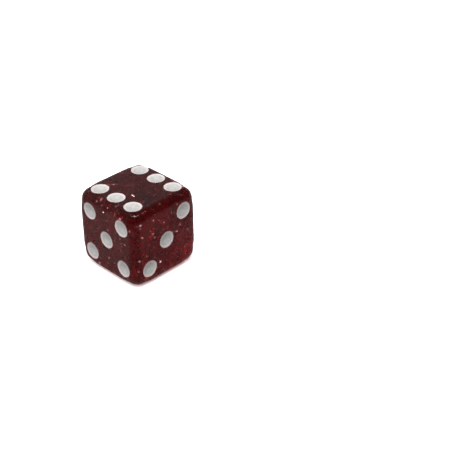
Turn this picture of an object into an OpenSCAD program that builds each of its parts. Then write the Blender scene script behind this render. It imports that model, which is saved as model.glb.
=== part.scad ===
// Pipped gaming die: a cube of clear tinted resin with rounded edges and corners,
// and a dished fill of white paint, a little below the face, in each of its 21 recesses.
// Opposite faces add up to seven, and one, two, three run anticlockwise (right-handed).
// The origin is the centre of the face that it rests on: the one is down, the six is up,
// the five faces -Y and the three faces +X.

/* [Cube] */
// Distance between opposite faces
die_size = 16; // [12:0.5:25]
// Radius of the edges and corners, in hundredths of die_size
edge_percent = 11; // [7:0.5:12]

/* [Pips] */
// Diameter of a recess, in hundredths of die_size
pip_percent = 21.4; // [16:0.1:23]
// Depth of a recess's straight wall, in hundredths of die_size
wall_percent = 2.2; // [1.8:0.1:2.6]
// Depth of a recess at its middle, in hundredths of die_size
recess_percent = 4.5; // [4:0.1:6]
// How far the paint's rim lies below the face, in hundredths of die_size
rim_percent = 1; // [0.5:0.1:1.4]
// Width of the paint's rim, outside its hollow, in hundredths of die_size
lip_percent = 0.5; // [0.3:0.1:0.8]
// Depth of the hollow in the paint, in hundredths of die_size
dish_percent = 1.8; // [0.8:0.1:2.2]

/* [Layout] */
// Distance of a corner pip from the face's centre lines, in hundredths of die_size
corner_percent = 27.8; // [25:0.1:28]
// Distance between neighbours in the six's rows, in hundredths of die_size
row_pitch_percent = 28.8; // [24:0.1:29]
// Distance of the six's rows from its centre line, in hundredths of die_size
row_offset_percent = 31.2; // [25:0.1:31.4]

/* [Hidden] */
FACES = [1, 2, 3, 4, 5, 6];
function pip_node(face, pip) = str("pip_", face, "_", pip);
$fn = 96;

percent = die_size / 100;
half = die_size / 2;
edge_r = edge_percent * percent;

pip_r = pip_percent * percent / 2;
wall_depth = wall_percent * percent;
recess_depth = recess_percent * percent;
rim_depth = rim_percent * percent;
lip_w = lip_percent * percent;
dish_depth = dish_percent * percent;

corner_at = corner_percent * percent;
row_pitch = row_pitch_percent * percent;
row_at = row_offset_percent * percent;

// Radius of the ball that sinks to the given depth in a circle of radius r.
function ball_radius(r, depth) = (r * r + depth * depth) / (2 * depth);

floor_ball_r = ball_radius(pip_r, recess_depth - wall_depth);
dish_ball_r = ball_radius(pip_r - lip_w, dish_depth);

// Turn that carries the +Z face to where the face with this many pips lies.
function face_turn(face) =
    face == 6 ? [0, 0, 0] :
    face == 5 ? [90, 0, 0] :
    face == 3 ? [90, 0, 90] :
    face == 2 ? [90, 0, 180] :
    face == 4 ? [90, 0, 270] :
    [180, 0, 0];

// Pip centres on a face, seen from outside with +Z up.
CORNERS = [for (x = [-1, 1]) for (y = [-1, 1]) [x, y] * corner_at];
function pip_centres(face) =
    face == 6 ? [for (y = [-1, 1]) for (x = [-1:1]) [x * row_pitch, y * row_at]] :
    face == 5 ? concat(CORNERS, [[0, 0]]) :
    face == 4 ? CORNERS :
    face == 3 ? [CORNERS[3], [0, 0], CORNERS[0]] :
    face == 2 ? [CORNERS[1], CORNERS[2]] :
    [[0, 0]];

// Puts its children at a pip's centre on the face, with +Z pointing out of it.
module at_pip(face, centre) {
    translate([0, 0, half]) rotate(face_turn(face)) translate([centre[0], centre[1], half])
        children();
}

// A ball whose lowest point is the given depth below the face.
module sunk_ball(r, depth) {
    translate([0, 0, r - depth]) sphere(r = r);
}

// Three crossed slabs make the flat faces, cylinders the edges and balls the corners.
module rounded_cube(size, r) {
    flat = size - 2 * r;
    translate([0, 0, half]) {
        cube([size, flat, flat], center = true);
        cube([flat, size, flat], center = true);
        cube([flat, flat, size], center = true);
        for (turn = [[0, 0, 0], [90, 0, 0], [0, 90, 0]]) rotate(turn)
            for (x = [-1, 1]) for (y = [-1, 1]) translate([x, y, 0] * flat / 2)
                cylinder(r = r, h = flat, center = true);
        for (x = [-1, 1]) for (y = [-1, 1]) for (z = [-1, 1]) translate([x, y, z] * flat / 2)
            sphere(r = r);
    }
}

// What a drill with a domed end takes out: a straight wall over a shallow bowl.
module recess() {
    intersection() {
        cylinder(r = pip_r, h = 2 * recess_depth, center = true);
        sunk_ball(floor_ball_r, recess_depth);
    }
}

module resin_cube() {
    color([0.42, 0.04, 0.06], 0.85) difference() {
        rounded_cube(die_size, edge_r);
        for (face = FACES) for (centre = pip_centres(face)) at_pip(face, centre) recess();
    }
}

// The paint lines its recess up to the rim, which follows the cube's surface, and is hollow.
module paint_fill(face, centre) {
    color([0.84, 0.82, 0.81]) difference() {
        intersection() {
            rounded_cube(die_size - 2 * rim_depth, edge_r - rim_depth);
            at_pip(face, centre) recess();
        }
        at_pip(face, centre) sunk_ball(dish_ball_r, dish_depth + rim_depth);
    }
}

resin_cube();  // cube
for (face = FACES) for (pip = [1:face])
    paint_fill(face, pip_centres(face)[pip - 1]);
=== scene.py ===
"""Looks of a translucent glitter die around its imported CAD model: resin cube, paint fills and glitter."""
import math
import random
from itertools import product

import bpy
from mathutils import Matrix, Vector, noise


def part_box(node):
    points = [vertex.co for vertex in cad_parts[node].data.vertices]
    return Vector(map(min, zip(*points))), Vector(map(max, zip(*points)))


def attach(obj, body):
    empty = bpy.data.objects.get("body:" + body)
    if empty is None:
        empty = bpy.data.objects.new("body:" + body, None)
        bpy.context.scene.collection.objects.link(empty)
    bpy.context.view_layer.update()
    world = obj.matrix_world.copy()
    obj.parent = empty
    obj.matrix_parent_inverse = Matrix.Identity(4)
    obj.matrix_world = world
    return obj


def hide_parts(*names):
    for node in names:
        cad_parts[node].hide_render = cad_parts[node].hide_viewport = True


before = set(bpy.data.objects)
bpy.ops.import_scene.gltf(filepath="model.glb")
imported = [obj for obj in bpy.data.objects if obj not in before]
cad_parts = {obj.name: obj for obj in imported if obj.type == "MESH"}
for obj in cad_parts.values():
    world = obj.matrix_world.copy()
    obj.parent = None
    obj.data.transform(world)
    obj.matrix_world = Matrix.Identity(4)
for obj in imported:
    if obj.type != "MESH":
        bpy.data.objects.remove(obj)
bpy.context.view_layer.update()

# ---- Driving dimensions, in metres, from the frame ------------------------------------------

MM = 0.001
CUBE_LOW, CUBE_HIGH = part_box("cube")
CENTRE = (CUBE_LOW + CUBE_HIGH) / 2
SIZE = CUBE_HIGH.z - CUBE_LOW.z
HALF = SIZE / 2

EDGE_R = 0.11 * SIZE       # radius of an edge at its middle
CORNER_R = 0.141 * SIZE    # radius of a corner, which tumbling rounds more
TAPER_AT = 0.22 * SIZE     # distance from the middle of an edge at which its radius starts to grow

# ---- Camera ---------------------------------------------------------------------------------

LENS = 84.3                # focal length, in millimetres
SENSOR = 36                # its width, in millimetres
CLIP = (0.01, 10)          # nearest and farthest thing in view, in metres
VIEW_AZIMUTH = 44.1        # of the optical axis, in degrees
VIEW_ELEVATION = 32.5
AWAY = 12.67 * SIZE        # distance along the optical axis
LEFT = 1.050 * SIZE        # how far the die lies left of the axis
ABOVE = 0.029 * SIZE       # and above it


def towards(azimuth, elevation):
    """Unit vector at two angles in degrees: azimuth 0 is -Y, and it grows towards +X."""
    a, e = math.radians(azimuth), math.radians(elevation)
    return Vector((math.sin(a) * math.cos(e), -math.cos(a) * math.cos(e), math.sin(e)))


def make_camera():
    """Camera at the viewing angle, with the die a little off its axis."""
    back = towards(VIEW_AZIMUTH, VIEW_ELEVATION)
    right = towards(VIEW_AZIMUTH + 90, 0)
    up = back.cross(right)
    camera = bpy.data.objects.new("camera", bpy.data.cameras.new("camera"))
    camera.data.lens = LENS
    camera.data.sensor_width = SENSOR
    camera.data.clip_start, camera.data.clip_end = CLIP
    camera.location = CENTRE + back * AWAY + right * LEFT - up * ABOVE
    camera.rotation_euler = Matrix((right, up, back)).transposed().to_euler()
    bpy.context.scene.collection.objects.link(camera)
    bpy.context.scene.camera = camera


# ---- Numbers and meshes ---------------------------------------------------------------------

ROUND_STEPS = 96           # points round anything turned on a lathe
ANGLES = [2 * math.pi * k / ROUND_STEPS for k in range(ROUND_STEPS)]
SQUARE = ((-1, -1), (1, -1), (1, 1), (-1, 1))


def clamp(value, low, high):
    return min(max(value, low), high)


def smooth_step(t):
    """Rises from 0 to 1 as t does, and is level at both ends."""
    return t * t * (3 - 2 * t)


def round_axis(r, a, z):
    """Point at radius r and angle a round the z axis."""
    return Vector((r * math.cos(a), r * math.sin(a), z))


def new_object(name, mesh, material):
    """Puts a mesh into the scene with one material."""
    piece = bpy.data.objects.new(name, mesh)
    bpy.context.scene.collection.objects.link(piece)
    mesh.materials.append(material)
    return piece


def mesh_of(name, points, faces):
    mesh = bpy.data.meshes.new(name)
    mesh.from_pydata([tuple(p) for p in points], [], faces)
    mesh.update()
    return mesh


def extend(points, faces, more_points, more_faces):
    """Adds a part to the points and faces of a mesh in the making."""
    start = len(points)
    points += more_points
    faces += [tuple(start + k for k in face) for face in more_faces]


def shade_smooth(mesh, sharp):
    """Shades a mesh smooth, but for edges sharper than an angle in degrees."""
    for polygon in mesh.polygons:
        polygon.use_smooth = True
    mesh.set_sharp_from_angle(angle=math.radians(sharp))


def lathe_faces(rings):
    """Faces over a first point, rings of points and a last point, facing outwards from the axis."""
    steps = [(k, (k + 1) % ROUND_STEPS) for k in range(ROUND_STEPS)]
    starts = [1 + i * ROUND_STEPS for i in range(rings)]
    last = 1 + rings * ROUND_STEPS
    faces = [(0, 1 + n, 1 + k) for k, n in steps]
    for a, b in zip(starts, starts[1:]):
        faces += [(a + k, a + n, b + n, b + k) for k, n in steps]
    return faces + [(starts[-1] + k, starts[-1] + n, last) for k, n in steps]


def arc(centre, radius, start, end, steps):
    """Points (r, z) on an arc, between two angles in degrees from +r towards +z."""
    angles = [math.radians(start + (end - start) * k / steps) for k in range(steps + 1)]
    return [(centre[0] + radius * math.cos(t), centre[1] + radius * math.sin(t)) for t in angles]


# ---- Recesses, read off the paint fills in the frame ----------------------------------------

NICKS = (2, 5)                         # chips in the rim of a recess, at least and at most
NICK_HALF = (0.07, 0.16)               # half the angle that a chip takes up, in radians
NICK_REACH = (0.04 * MM, 0.12 * MM)    # how far it bites into the face beyond the recess
NICK_DEPTH = 0.3 * MM                  # how far down the wall it runs out
NICK_POWER = 1.5                       # the higher, the more pointed its outline


class Recess:
    """Where one pip lies: its matrix puts z = 0 on the face with +Z out of it."""

    def __init__(self, node):
        low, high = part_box(node)
        middle, extent = (low + high) / 2, high - low
        axis = min(range(3), key=lambda i: extent[i])
        out = Vector((0, 0, 0))
        out[axis] = math.copysign(1, middle[axis] - CENTRE[axis])
        on_face = middle.copy()
        on_face[axis] = CENTRE[axis] + out[axis] * HALF
        across = Vector((0, 0, 1)) if axis != 2 else Vector((0, 1, 0))
        side = across.cross(out)
        self.node = node
        self.matrix = Matrix((side, across, out)).transposed().to_4x4()
        self.matrix.translation = on_face
        self.inverse = self.matrix.inverted()
        self.rim_depth, self.depth = sorted(abs(on_face[axis] - end[axis]) for end in (low, high))
        self.radius = max(extent) / 2
        rng = random.Random(node)
        self.nicks = [(rng.uniform(0, 2 * math.pi), rng.uniform(*NICK_HALF), rng.uniform(*NICK_REACH))
                      for _ in range(rng.randint(*NICKS))]

    def nick(self, a):
        """How far the chips in the rim reach beyond the round recess at angle a."""
        reach = 0
        for middle, half, most in self.nicks:
            off = abs((a - middle + math.pi) % (2 * math.pi) - math.pi) / half
            reach += most * max(0, 1 - off * off) ** NICK_POWER
        return reach

    def chipped(self, r, a, z):
        """Point of a turned shape in this recess, moved out where its wall is chipped."""
        near_wall = r > PIP_R / 2
        if near_wall:
            r += self.nick(a) * nick_share(z)
        return round_axis(r, a, z)


def nick_share(z):
    """Share of a chip's reach that is left at height z."""
    return clamp(1 + z / NICK_DEPTH, 0, 1)


RECESSES = [Recess(n) for n in sorted(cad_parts) if n != "cube"]
PLAIN = next(r for r in RECESSES if r.node == "pip_1_1")
PIP_R = PLAIN.radius
RIM_DEPTH = PLAIN.rim_depth   # of the paint's rim below the face
DEPTH = PLAIN.depth           # of the recess at its middle
WALL = 0.49 * DEPTH           # height of its straight wall, over a bowl
BOWL_R = (PIP_R ** 2 + (DEPTH - WALL) ** 2) / (2 * (DEPTH - WALL))

# ---- Nodes ----------------------------------------------------------------------------------

MIX_SOCKETS = {"FLOAT": (2, 3, 0), "RGBA": (6, 7, 2)}   # numbers of a Mix node's A, B and result


def grey(level):
    return (level, level, level, 1)


def new_material(name):
    """A material, its node tree and its shader."""
    material = bpy.data.materials.new(name)
    material.use_nodes = True
    tree = material.node_tree
    return material, tree, tree.nodes["Principled BSDF"]


def add(tree, kind, **values):
    """A node with some of its properties, or else its input sockets, set by name."""
    node = tree.nodes.new("ShaderNode" + kind)
    for key, value in values.items():
        if hasattr(node, key):
            setattr(node, key, value)
        else:
            node.inputs[key.replace("_", " ").title()].default_value = value
    return node


def feed(tree, value, socket):
    """Gives an input socket its value: another socket, or a number or colour."""
    if isinstance(value, bpy.types.NodeSocket):
        tree.links.new(value, socket)
    else:
        socket.default_value = value


def set_up(tree, node, values):
    """Feeds a node's input sockets by name."""
    for name, value in values.items():
        feed(tree, value, node.inputs[name])


def combine(tree, operation, first, second):
    """Socket with the result of one operation on two values, each a socket or a number."""
    node = add(tree, "Math", operation=operation)
    feed(tree, first, node.inputs[0])
    feed(tree, second, node.inputs[1])
    return node.outputs[0]


def mix(tree, kind, share, first, second):
    """Socket that goes from a first number or colour to a second as the share goes from 0 to 1."""
    node = add(tree, "Mix", data_type=kind)
    a, b, result = MIX_SOCKETS[kind]
    feed(tree, share, node.inputs[0])
    feed(tree, first, node.inputs[a])
    feed(tree, second, node.inputs[b])
    return node.outputs[result]


def smooth_rise(tree, value, start, end, top=1.0):
    """Socket that rises smoothly from 0 to a top as a value goes from start to end."""
    node = add(tree, "MapRange", interpolation_type="SMOOTHSTEP")
    set_up(tree, node, {"Value": value, "From Min": start, "From Max": end, "To Max": top})
    return node.outputs[0]


def noise_ramp(tree, scale, low, high, detail=3.0):
    """Socket of a ramp between two stops (position, colour), over noise of a scale per metre."""
    where = add(tree, "TexCoord")
    cloud = add(tree, "TexNoise", scale=scale, detail=detail)
    tree.links.new(where.outputs["Object"], cloud.inputs["Vector"])
    ramp = add(tree, "ValToRGB")
    for element, stop in zip(ramp.color_ramp.elements, (low, high)):
        element.position, element.color = stop
    tree.links.new(cloud.outputs["Fac"], ramp.inputs["Fac"])
    return ramp.outputs["Color"]


def bump(tree, height, strength, distance):
    """Socket of the normal on bumps as high as a value says."""
    node = add(tree, "Bump", strength=strength, distance=distance)
    tree.links.new(height, node.inputs["Height"])
    return node.outputs["Normal"]


# ---- Materials ------------------------------------------------------------------------------

RESIN_TAKES = (51.0, 235.0, 225.0)   # absorption of red, green and blue light, per metre
HIGHLIGHT_FROM, HIGHLIGHT_TO = 0.70, 0.84        # shares of a pip's radius between which its pale ring, a painted highlight, sets in


def resin_material():
    """Hazy inside and polished outside: the rough layer blurs what lies deep, the coat shines."""
    material, tree, shader = new_material("tinted_resin")
    set_up(tree, shader, {
        "Base Color": noise_ramp(tree, 260, (0.3, (1.0, 0.93, 0.93, 1)), (0.7, (0.93, 0.86, 0.86, 1))),
        "Roughness": noise_ramp(tree, 900, (0.35, grey(0.26)), (0.75, grey(0.36)), detail=6),
        "Transmission Weight": 1.0,
        "IOR": 1.5,
        "Specular Tint": (0, 0, 0, 1),
        "Coat Weight": 1.0,
        "Coat Roughness": 0.03,
        "Coat IOR": 1.34,
    })
    most = max(RESIN_TAKES)
    absorb = add(tree, "VolumeAbsorption", density=most)
    absorb.inputs["Color"].default_value = (*[1 - t / most for t in RESIN_TAKES], 1)
    tree.links.new(absorb.outputs[0], tree.nodes["Material Output"].inputs["Volume"])
    return material


def paint_material():
    """White enamel, greyer in the middle, with a paler ring at its rim that is a painted highlight."""
    material, tree, shader = new_material("pip_paint")
    middle_tone = noise_ramp(tree, 1600, (0.3, (0.64, 0.63, 0.61, 1)), (0.75, (0.80, 0.79, 0.77, 1)), detail=8)
    radius = add(tree, "Attribute", attribute_name="rim").outputs["Fac"]
    highlight_ring = smooth_rise(tree, radius, HIGHLIGHT_FROM, HIGHLIGHT_TO)
    rough = noise_ramp(tree, 1500, (0.3, grey(0.22)), (0.7, grey(0.40)), detail=4)
    set_up(tree, shader, {
        # the pale pinkish colour at the rim is a painted highlight over the grey middle tone
        "Base Color": mix(tree, "RGBA", highlight_ring, middle_tone, (0.93, 0.83, 0.82, 1)),
        "Roughness": rough,
        "Normal": bump(tree, rough, strength=0.4, distance=0.03 * MM),
    })
    return material


def foil_material():
    """Silvered flakes: bright where one mirrors a lamp towards the eye, and red or dark elsewhere."""
    material, tree, shader = new_material("glitter_foil")
    set_up(tree, shader, {
        "Base Color": noise_ramp(tree, 700, (0.35, (0.97, 0.80, 0.79, 1)), (0.65, (0.95, 0.64, 0.63, 1))),
        "Roughness": noise_ramp(tree, 2500, (0.3, grey(0.04)), (0.7, grey(0.12))),
        "Metallic": 1.0,
    })
    return material


# ---- Rounded surface of the cube ------------------------------------------------------------

FLAT_STEPS = 10            # of the grid from the middle of a flat to its border
ARC_STEPS = 9              # of the grid from there to the middle of an edge
DIGITS = 6                 # decimals, in cube sizes, to which two grids' shared points agree
PROBE = 1e-4 * SIZE        # step to each side that measures the slope of the surface


def local_radius(point):
    """Edge radius near a point about the centre: it grows from TAPER_AT towards a corner."""
    along = min(abs(c) for c in point)
    t = clamp((along - TAPER_AT) / (HALF - CORNER_R - TAPER_AT), 0, 1)
    return EDGE_R + (CORNER_R - EDGE_R) * smooth_step(t)


def core_of(point):
    """Nearest point of the core that the rounded surface goes round, and the radius there."""
    r = local_radius(point)
    return Vector([clamp(c, r - HALF, HALF - r) for c in point]), r


def round_off(point):
    """Carries a point of the sharp cube about the centre to the rounded surface."""
    core, r = core_of(point)
    return core + (point - core).normalized() * r


def surface_gap(point):
    """Signed distance of a point about the centre from the rounded surface, nearly."""
    core, r = core_of(point)
    return (point - core).length - r


def surface_normal(point):
    """Normal of the rounded surface near a point about the centre."""
    steps = ((PROBE, 0, 0), (0, PROBE, 0), (0, 0, PROBE))
    slope = [surface_gap(point + Vector(d)) - surface_gap(point - Vector(d)) for d in steps]
    return Vector(slope).normalized()


def flat_part(i):
    """Place of grid line i, without its sign, as far as the flat goes."""
    return (HALF - EDGE_R) * min(abs(i), FLAT_STEPS) / FLAT_STEPS


def grid_line(i, other):
    """Place of grid line i where it crosses another: even steps across the flat, then round the edge."""
    r = local_radius((HALF, flat_part(i), flat_part(other)))
    if abs(i) <= FLAT_STEPS:
        return (HALF - r) * i / FLAT_STEPS
    angle = math.pi / 4 * (abs(i) - FLAT_STEPS) / ARC_STEPS
    return math.copysign(HALF - r + r * math.tan(angle), i)


def grid_point(axis, sign, i, j):
    """Point about the centre where two grid lines of one face cross."""
    point = [0, 0, 0]
    point[axis] = sign * HALF
    point[(axis + 1) % 3] = grid_line(i, j)
    point[(axis + 2) % 3] = grid_line(j, i)
    return round_off(Vector(point))


def rounded_cube_mesh(name):
    """Six grids that meet at the middles of the edges and share their points there."""
    steps = FLAT_STEPS + ARC_STEPS
    points, faces, index = [], [], {}
    for axis, sign in product(range(3), (-1, 1)):
        grid = {}
        for i, j in product(range(-steps, steps + 1), repeat=2):
            p = grid_point(axis, sign, i, j)
            key = tuple(round(c / SIZE, DIGITS) for c in p)
            if key not in index:
                index[key] = len(points)
                points.append(CENTRE + p)
            grid[i, j] = index[key]
        for i, j in product(range(-steps, steps), repeat=2):
            face = (grid[i, j], grid[i + 1, j], grid[i + 1, j + 1], grid[i, j + 1])
            faces.append(face if sign > 0 else face[::-1])
    return mesh_of(name, points, faces)


# ---- Resin cube -----------------------------------------------------------------------------

FOOT_ROUND = 0.2 * MM      # radius between the bowl of a recess and its wall
LIP_ROUND = 0.06 * MM      # radius between its wall and the face
LIP_SLOPE = 10             # degrees at which the cutter leaves the lip, to clear the face
LIP_REACH = 0.3 * MM       # how far out it keeps to that slope
MOUTH = 1.5 * MM           # how far the cutter stands out of the face
BOWL_STEPS = 12
FOOT_STEPS = 6
LIP_STEPS = 4

CUBE_SHARP = 35            # degrees, from which an edge of the cut cube is left sharp
OUTER_COSINE = 0.999       # of the most that an outer face is turned from the true surface
OUTER_GAP = 0.01 * MM      # the most that its points lie off that surface


def recess_profile(inset, lip):
    """From the middle of the bowl and up the wall to a lip below the face, an inset within the recess."""
    bowl_r, bowl_z = BOWL_R - inset, BOWL_R - DEPTH
    wall_r, foot_r = PIP_R - inset, FOOT_ROUND - inset
    foot_x = wall_r - foot_r
    foot_z = bowl_z - math.sqrt((bowl_r - foot_r) ** 2 - foot_x ** 2)
    tilt = math.degrees(math.asin(foot_x / (bowl_r - foot_r)))
    bowl = arc((0, bowl_z), bowl_r, -90, -90 + tilt, BOWL_STEPS)
    foot = arc((foot_x, foot_z), foot_r, -90 + tilt, 0, FOOT_STEPS)
    return bowl + foot[1:] + [(wall_r, -lip)]


def cutter_profile():
    """Of the solid that cuts a recess and rounds its lip, without its end on the axis."""
    lip = arc((PIP_R + LIP_ROUND, -LIP_ROUND), LIP_ROUND, 180, 90 + LIP_SLOPE, LIP_STEPS)
    r, z = lip[-1]
    rise = LIP_REACH * math.tan(math.radians(LIP_SLOPE))
    return recess_profile(0, LIP_ROUND)[:-1] + lip + [(r + LIP_REACH, z + rise), (r + LIP_REACH, MOUTH)]


def cutter_mesh():
    """All the cutters, each in its recess with the chips of its rim."""
    profile = cutter_profile()
    turned_faces = lathe_faces(len(profile) - 1)
    points, faces = [], []
    for recess in RECESSES:
        turned = [round_axis(0, 0, profile[0][1])]
        for r, z in profile[1:]:
            turned += [recess.chipped(r, a, z) for a in ANGLES]
        turned.append(round_axis(0, 0, MOUTH))
        extend(points, faces, [recess.matrix @ p for p in turned], turned_faces)
    return mesh_of("cutter", points, faces)


def cut_recesses(cube):
    """Cuts all the recesses out of the cube, and applies the cut to its mesh."""
    cutter = bpy.data.objects.new("cutter", cutter_mesh())
    bpy.context.scene.collection.objects.link(cutter)
    cut = cube.modifiers.new("recesses", "BOOLEAN")
    cut.operation = "DIFFERENCE"
    cut.solver = "EXACT"
    cut.object = cutter
    evaluated = cube.evaluated_get(bpy.context.evaluated_depsgraph_get())
    mesh = bpy.data.meshes.new_from_object(evaluated)
    cube.modifiers.clear()
    cube.data = mesh
    bpy.data.objects.remove(cutter)


def shade_cube(mesh):
    """Sets each corner's normal from the true outer surface; the recesses keep Blender's own."""
    shade_smooth(mesh, CUBE_SHARP)
    own = [Vector(n.vector) for n in mesh.corner_normals]
    normals = []
    for polygon in mesh.polygons:
        outer = polygon.normal.dot(surface_normal(polygon.center - CENTRE)) > OUTER_COSINE
        for k in polygon.loop_indices:
            p = mesh.vertices[mesh.loops[k].vertex_index].co - CENTRE
            on_surface = outer and abs(surface_gap(p)) < OUTER_GAP
            normals.append(surface_normal(p) if on_surface else own[k])
    mesh.normals_split_custom_set(normals)


def make_cube(material):
    """The casting of resin."""
    cube = new_object("resin_cube", rounded_cube_mesh("resin_cube"), material)
    cut_recesses(cube)
    shade_cube(cube.data)
    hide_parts("cube")
    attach(cube, "root")


# ---- Paint fills ----------------------------------------------------------------------------

GAP = 0.01 * MM            # of air between the paint and the resin that it lines
LINING_TOP = 0.1 * MM      # from the last ring of the underside, on the wall, up to the rim
RINGS = 14                 # of the paint's top, from its middle to its rim
DISH = 0.29 * MM           # depth of the hollow in the paint
DISH_R = 0.88              # its radius, as a share of the pip's
DISH_VARIES = 0.15         # by this share of its depth
MENISCUS = 0.1 * MM        # by which the paint climbs the wall of its recess
MENISCUS_POWER = 10        # the higher, the nearer to the wall it begins to climb
CHIP_CLIMB = 0.4           # how much more it climbs in a chip, as a share of the chip's reach
CHIP_CLIMB_MOST = 0.04 * MM
CHIP_POWER = 12            # the higher, the nearer to the wall the paint spreads into a chip
WANDER = 0.03 * MM         # of the rim's height, in slow waves
TREMBLE = 0.015 * MM       # and in quick ones
WANDER_POWER = 3           # with which both fade towards the middle
WAVES = 0.012 * MM         # over the whole top
LEAST_DEPTH = 0.02 * MM    # of any point of the paint below the face
PAINT_SHARP = 50           # degrees, from which an edge of the paint is left sharp
NOISE_SPAN = 50            # to each side of 0, in which each fill has its own place in the noise


def ripple(shift, a, t, pitch, layer):
    """Smooth noise at angle a and share t of the radius, the same all the way round."""
    return noise.noise(Vector((math.cos(a) * t * pitch, math.sin(a) * t * pitch, layer)) + shift)


def paint_top(recess, shift, a, t):
    """Point of the paint's top: a ring that climbs the wall and wanders a little, round a dish."""
    slow = WANDER * ripple(shift, a, 1, pitch=1.2, layer=0)
    quick = TREMBLE * ripple(shift, a, 1, pitch=6, layer=3)
    varies = 1 + DISH_VARIES * ripple(shift, a, t, pitch=1, layer=9)
    dish = DISH * (1 - smooth_step(min(t / DISH_R, 1))) * varies
    waves = WAVES * ripple(shift, a, t, pitch=4, layer=5)
    chip = recess.nick(a)
    climb = (MENISCUS + min(CHIP_CLIMB * chip, CHIP_CLIMB_MOST)) * t ** MENISCUS_POWER
    depth = max(RIM_DEPTH + (slow + quick) * t ** WANDER_POWER + dish + waves - climb, LEAST_DEPTH)
    spread = chip * nick_share(-depth) * t ** CHIP_POWER
    return round_axis(t * (PIP_R - GAP) + spread, a, -depth)


def make_paint(recess, material, seed):
    """One fill that lines its recess.  Its attribute rim is 1 at the wall and 0 at the middle."""
    rng = random.Random(seed)
    shift = Vector([rng.uniform(-NOISE_SPAN, NOISE_SPAN) for _ in range(3)])
    under = recess_profile(GAP, RIM_DEPTH + LINING_TOP)
    points, shares = [round_axis(0, 0, under[0][1])], [0.0]
    for r, z in under[1:]:
        points += [recess.chipped(r, a, z) for a in ANGLES]
        shares += [1.0] * ROUND_STEPS
    for i in range(RINGS, 0, -1):
        points += [paint_top(recess, shift, a, i / RINGS) for a in ANGLES]
        shares += [i / RINGS] * ROUND_STEPS
    points.append(paint_top(recess, shift, 0, 0))
    shares.append(0.0)
    name = recess.node.replace("pip", "paint")
    faces = lathe_faces(len(under) - 1 + RINGS)
    mesh = mesh_of(name, [recess.matrix @ p for p in points], faces)
    mesh.attributes.new("rim", "FLOAT", "POINT").data.foreach_set("value", shares)
    shade_smooth(mesh, PAINT_SHARP)
    piece = new_object(name, mesh, material)
    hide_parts(recess.node)
    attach(piece, "root")


# ---- Glitter --------------------------------------------------------------------------------

GLITTER_SEED = 7
FLAKES = 2200
FLAKE_WIDTH = (0.16 * MM, 0.34 * MM)
FLAKE_ASPECT = (1.0, 1.3)  # length, in widths
FLAKE_THICK = 0.012 * MM
SHREDS = 0.15              # share of the flakes that are long and narrow
SHRED_WIDTH = (0.6, 1.0)   # of a shred, as a share of the narrowest flake's
SHRED_ASPECT = (2.5, 6.0)
SKIN = 0.2 * MM            # clear resin over the middles of the outermost flakes
LEAST_SKIN = 0.13 * MM     # and over their corners, which keeps them out of the chips too
SHRINK = 0.85              # step by which a flake too near the surface shrinks until it fits
NEAR = 0.7 * MM            # depth at which their density has fallen to about a third
DEEP_SHARE = 0.01          # of their density that is left far inside
FLAKE_FACES = ((3, 2, 1, 0), (4, 5, 6, 7), (0, 1, 5, 4), (1, 2, 6, 5), (2, 3, 7, 6), (3, 0, 4, 7))


def buried(point, margin):
    """True for a point about the centre in the resin, a margin from its faces and from each recess."""
    if surface_gap(point) > -margin:
        return False
    for recess in RECESSES:
        p = recess.inverse @ (CENTRE + point)
        if p.xy.length < PIP_R + margin and p.z > -DEPTH - margin:
            return False
    return True


def random_place(rng):
    """Middle of a flake about the centre: drawn again until it lies where one may, mostly near a face."""
    while True:
        p = Vector([rng.uniform(-1, 1) * (HALF - SKIN) for _ in range(3)])
        depth = -surface_gap(p)
        crowd = DEEP_SHARE + (1 - DEEP_SHARE) * math.exp(-depth / NEAR)
        if depth >= SKIN and rng.random() <= crowd and buried(p, SKIN):
            return p


def random_turn(rng):
    """A rotation matrix, every facing as likely as another."""
    z = rng.uniform(-1, 1)
    a = rng.uniform(0, 2 * math.pi)
    out = round_axis(math.sqrt(1 - z * z), a, z).to_track_quat("Z", "X").to_matrix()
    return out @ Matrix.Rotation(rng.uniform(0, math.pi), 3, "Z")


def flake_corners(rng):
    """Corners of one flake about its middle: a thin box, square or shred-like."""
    wide = rng.uniform(*FLAKE_WIDTH)
    long = wide * rng.uniform(*FLAKE_ASPECT)
    if rng.random() < SHREDS:
        wide = FLAKE_WIDTH[0] * rng.uniform(*SHRED_WIDTH)
        long = wide * rng.uniform(*SHRED_ASPECT)
    half = Vector((long, wide, FLAKE_THICK)) / 2
    return [Vector((x * half.x, y * half.y, z * half.z)) for z in (-1, 1) for x, y in SQUARE]


def make_glitter(material):
    """All the flakes, as one piece."""
    rng = random.Random(GLITTER_SEED)
    points, faces = [], []
    for _ in range(FLAKES):
        middle = random_place(rng)
        turn = random_turn(rng)
        corners = [turn @ corner for corner in flake_corners(rng)]
        while not all(buried(middle + corner, LEAST_SKIN) for corner in corners):
            corners = [SHRINK * corner for corner in corners]
        extend(points, faces, [CENTRE + middle + corner for corner in corners], FLAKE_FACES)
    piece = new_object("glitter", mesh_of("glitter", points, faces), material)
    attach(piece, "root")


# ---- Floor ----------------------------------------------------------------------------------

FLOOR_HALF = 2             # of its side, in metres
FLOOR_GAP = 0.02 * MM      # of air between the die and the floor, which keeps its lower face a mirror
FLOOR_LIT = 0.25           # colour of the floor for the light that it throws on the die
FLOOR_SEEN = 2.2           # and for the camera, to which it is all but white


def floor_material():
    """Matt, and paler to the camera than to the die."""
    material, tree, shader = new_material("floor")
    to_camera = add(tree, "LightPath").outputs["Is Camera Ray"]
    set_up(tree, shader, {
        "Base Color": mix(tree, "RGBA", to_camera, grey(FLOOR_LIT), grey(FLOOR_SEEN)),
        "Roughness": 0.9,
        "Specular IOR Level": 0.0,
    })
    return material


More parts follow.
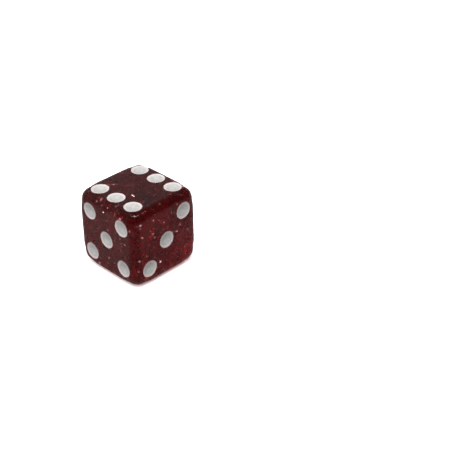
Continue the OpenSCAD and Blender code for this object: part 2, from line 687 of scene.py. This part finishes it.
def make_floor():
    z = CUBE_LOW.z - FLOOR_GAP
    corners = [(x * FLOOR_HALF, y * FLOOR_HALF, z) for x, y in SQUARE]
    mesh = mesh_of("floor", corners, [(0, 1, 2, 3)])
    new_object("floor", mesh, floor_material())


# ---- Studio ---------------------------------------------------------------------------------

# Soft lights: azimuth, elevation, angles off its centre at which a light begins to fade and ends,
# level, and the share of it that polished surfaces mirror.  The rest is flagged off from them.
# The first two are the dim room.
SOFT_LIGHTS = (
    (0, 90, 0, 180, 0.10, 1),
    (250, 15, 10, 80, 0.135, 1),
    (50, 82, 5, 34, 0.85, 0),
    (345, 40, 5, 60, 0.92, 0.06),
    (80, 40, 5, 50, 0.78, 0.06),
)
ARCH_LEVEL = 6.0
ARCH_TOP = 72              # elevation of the arch's top, on the camera's side
ARCH_TURN = 32.5           # radius of the circle that it follows, in degrees
ARCH_WIDTH = 5             # degrees to each side of it
ARCH_FADES = (30, 41)      # degrees from its top at which it begins to fade and ends
BACKDROP = 1.0             # level of the world behind the floor, to the camera alone


def facing(tree, direction, azimuth, elevation):
    """Socket with the cosine of the angle between a direction and a given one."""
    near = add(tree, "VectorMath", operation="DOT_PRODUCT")
    feed(tree, direction, near.inputs[0])
    feed(tree, towards(azimuth, elevation), near.inputs[1])
    return near.outputs["Value"]


def fade(tree, cosine, dark, bright, level):
    """Socket that rises from 0 to a level as a cosine goes from one angle to another."""
    return smooth_rise(tree, cosine, math.cos(math.radians(dark)), math.cos(math.radians(bright)), level)


def arch_light(tree, direction):
    """Socket of a long soft light that bends overhead like an arch, its top towards the camera.

    The middle of its circle lies past the zenith, so it is given from the far side.
    """
    middle = facing(tree, direction, VIEW_AZIMUTH + 180, 180 - ARCH_TOP - ARCH_TURN)
    inner = fade(tree, middle, ARCH_TURN - ARCH_WIDTH, ARCH_TURN - ARCH_WIDTH / 2, 1)
    outer = fade(tree, middle, ARCH_TURN + ARCH_WIDTH, ARCH_TURN + ARCH_WIDTH / 2, 1)
    full, end = ARCH_FADES
    length = fade(tree, facing(tree, direction, VIEW_AZIMUTH, ARCH_TOP), end, full, ARCH_LEVEL)
    return combine(tree, "MULTIPLY", combine(tree, "MULTIPLY", inner, outer), length)


def studio_lights(tree):
    """Sockets of the light from each direction: all of it, and what polished surfaces mirror."""
    direction = add(tree, "TexCoord").outputs["Generated"]
    level = mirrored = arch_light(tree, direction)
    for azimuth, elevation, full, end, most, share in SOFT_LIGHTS:
        glow = fade(tree, facing(tree, direction, azimuth, elevation), end, full, most)
        level = combine(tree, "ADD", level, glow)
        mirrored = combine(tree, "ADD", mirrored, combine(tree, "MULTIPLY", glow, share))
    return level, mirrored


def make_studio():
    """World that lights the die, and that the camera sees as a plain white backdrop."""
    world = bpy.data.worlds.new("studio")
    bpy.context.scene.world = world
    world.use_nodes = True
    tree = world.node_tree
    level, mirrored = studio_lights(tree)
    path = add(tree, "LightPath").outputs
    polish = combine(tree, "MULTIPLY", path["Is Glossy Ray"], path["Is Reflection Ray"])
    seen = mix(tree, "FLOAT", polish, level, mirrored)
    colour = mix(tree, "RGBA", path["Is Camera Ray"], seen, grey(BACKDROP))
    feed(tree, colour, tree.nodes["Background"].inputs["Color"])


# ---- Scene ----------------------------------------------------------------------------------

bpy.context.scene.view_settings.view_transform = "Standard"
make_camera()
make_floor()
make_studio()
make_cube(resin_material())
paint = paint_material()
for number, recess in enumerate(RECESSES):
    make_paint(recess, paint, number)
make_glitter(foil_material())
